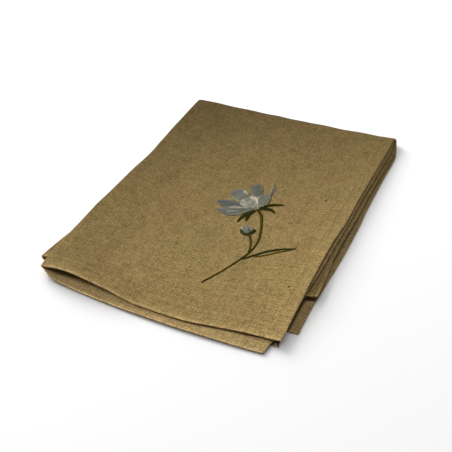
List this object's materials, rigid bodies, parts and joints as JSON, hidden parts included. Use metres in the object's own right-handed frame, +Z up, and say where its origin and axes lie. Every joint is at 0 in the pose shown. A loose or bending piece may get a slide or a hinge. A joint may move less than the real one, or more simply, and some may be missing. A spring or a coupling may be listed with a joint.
{
  "type": "folded placemat",
  "caption": "Rectangular linen placemat with turned hems and an embroidered flower, folded twice into a quarter and lying flat on a table.",
  "frame": {"origin": "on the table under the middle of the folded cloth's box", "axes": "+X to the right along the front hems, +Y to the back, towards the second fold and along the longer side, +Z up from the table"},
  "size_m": [0.2004, 0.2442, 0.0128],
  "materials": {
    "linen": "matt plain-weave natural linen, undyed brown-beige with slubs and dark flecks",
    "sewing_thread": "matt sewing thread of the cloth's colour",
    "petal_thread": "satin embroidery thread, blue-grey with pale cream edges",
    "leaf_thread": "satin embroidery thread, dark green"
  },
  "bodies": {
    "root": {"cloth": "linen"}
  },
  "joints": []
}
